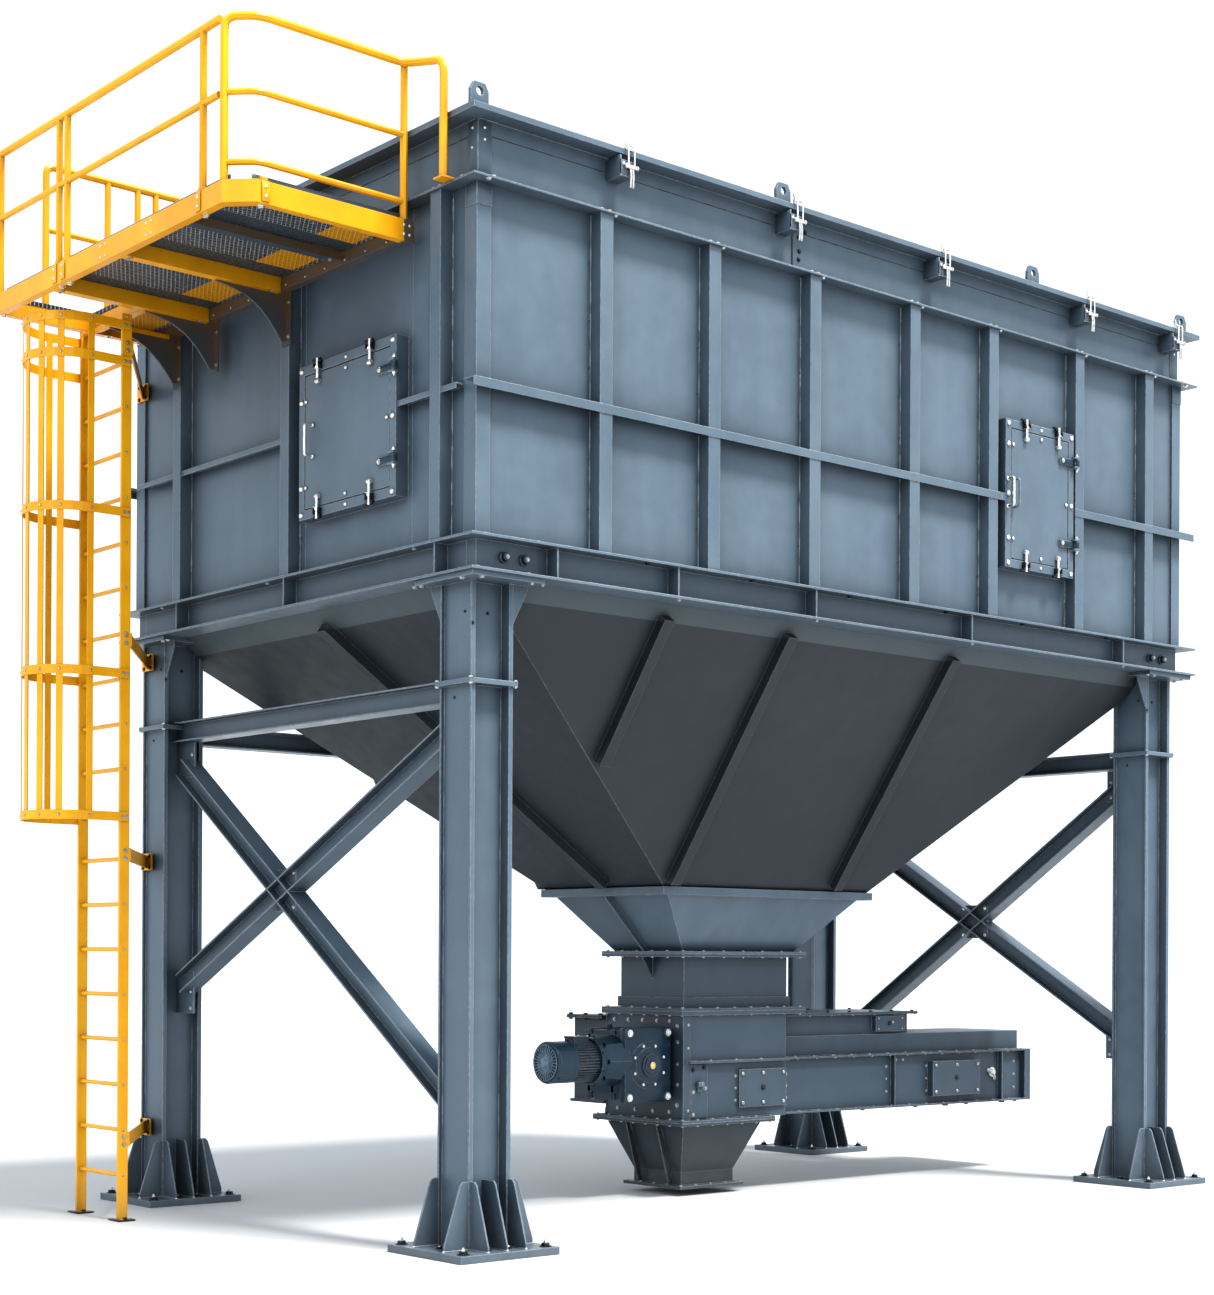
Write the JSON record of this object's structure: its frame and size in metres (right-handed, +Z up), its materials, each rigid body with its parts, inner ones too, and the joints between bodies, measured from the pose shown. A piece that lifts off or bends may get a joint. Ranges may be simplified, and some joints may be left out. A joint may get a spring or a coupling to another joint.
{
  "type": "coal bunker",
  "caption": "Steel coal bunker on braced columns: ribbed bin with lid, pyramid hopper, feeder with conveyor casing and drive, inspection doors, platform and caged ladder.",
  "frame": {"origin": "middle of the footprint at floor level", "axes": "+Z up, +X along the bunker's long side away from the ladder platform, +Y from the front wall to the back wall"},
  "size_m": [8.475, 4.33, 7.125],
  "materials": {
    "slate_paint": "satin slate blue-grey paint on steel plate",
    "drive_paint": "satin dark slate paint on cast and pressed steel",
    "safety_yellow": "semi-gloss safety yellow paint"
  },
  "bodies": {
    "bunker": {"front_wall_left": "slate_paint", "front_wall_right": "slate_paint", "front_door_bay": "slate_paint", "left_wall_front": "slate_paint", "left_wall_back": "slate_paint", "left_door_bay": "slate_paint", "back_wall": "slate_paint", "right_wall": "slate_paint", "coaming": "slate_paint", "lid": "slate_paint", "ring_beam_front": "slate_paint", "ring_beam_back": "slate_paint", "ring_beam_left": "slate_paint", "ring_beam_right": "slate_paint", "column_front_left": "slate_paint", "column_front_right": "slate_paint", "column_back_left": "slate_paint", "column_back_right": "slate_paint", "strut_left": "slate_paint", "strut_right": "slate_paint", "strut_back": "slate_paint", "brace_left": "slate_paint", "brace_right": "slate_paint", "hopper_front": "slate_paint", "hopper_back": "slate_paint", "hopper_left": "slate_paint", "hopper_right": "slate_paint", "hopper_lower": "slate_paint", "neck": "slate_paint", "feeder_head": "slate_paint", "feeder_tail": "slate_paint", "conveyor_casing": "slate_paint", "discharge_chute": "slate_paint", "gearbox": "drive_paint", "drive_motor": "drive_paint", "platform_frame": "safety_yellow", "platform_deck": "drive_paint", "guard_rail_outer": "safety_yellow", "guard_rail_front": "safety_yellow", "guard_rail_back": "safety_yellow", "ladder": "safety_yellow", "ladder_stay_low": "safety_yellow", "ladder_stay_middle": "safety_yellow", "ladder_stay_head": "safety_yellow", "ladder_stay_wall": "safety_yellow", "ladder_cage": "safety_yellow"},
    "front_door": {"front_door": "slate_paint"},
    "left_door": {"left_door": "slate_paint"}
  },
  "joints": [
    {"name": "front_door_hinge", "type": "hinge", "parent": "bunker", "child": "front_door", "pos_m": [2.6095, -2.117, 4.6], "axis": [0, 0, 1], "range_deg": [0, 110]},
    {"name": "left_door_hinge", "type": "hinge", "parent": "bunker", "child": "left_door", "pos_m": [-3.0245, -1.33, 4.55], "axis": [0, 0, 1], "range_deg": [0, 110]}
  ]
}
